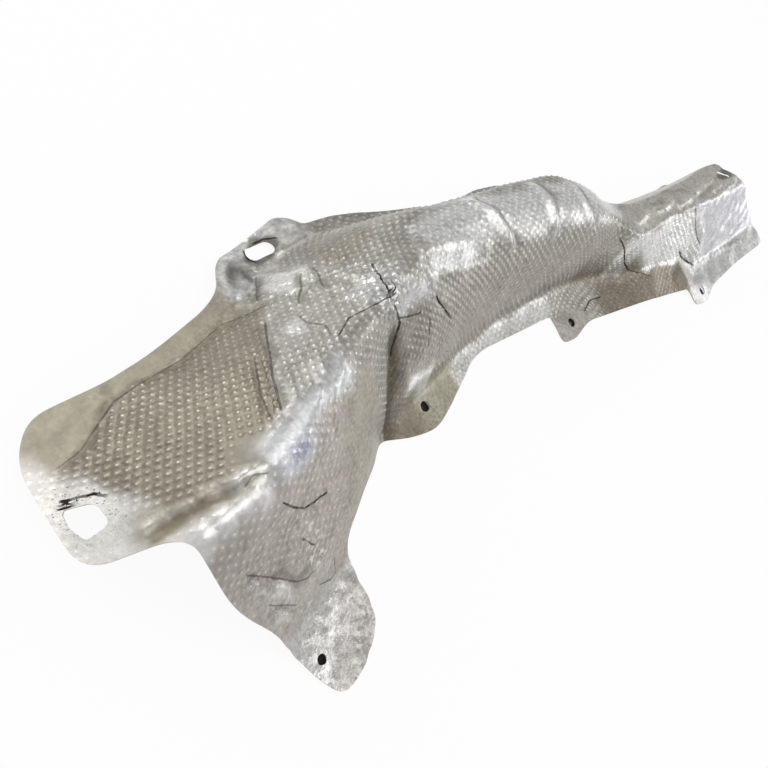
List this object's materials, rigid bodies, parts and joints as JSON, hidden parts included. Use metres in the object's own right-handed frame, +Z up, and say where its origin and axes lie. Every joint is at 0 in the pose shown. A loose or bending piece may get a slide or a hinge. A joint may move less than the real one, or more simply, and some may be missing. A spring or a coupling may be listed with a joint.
{
  "type": "exhaust heat shield",
  "caption": "Embossed aluminium exhaust heat shield: one sheet pressed into a bent tunnel with a flared mouth, side flanges and drilled fixing tabs.",
  "frame": {"origin": "middle of the footprint on the floor, the shield lying open side down", "axes": "+X from the flared mouth to the far end, along the line of the first and third near bolts; +Y to the far side; +Z up, from the hollow to the crest"},
  "size_m": [0.8372, 0.3288, 0.1089],
  "materials": {
    "embossed_aluminium": "dimpled satin sheet, dulled, scratched and stained by heat"
  },
  "bodies": {
    "root": {"heat_shield": "embossed_aluminium"}
  },
  "joints": []
}
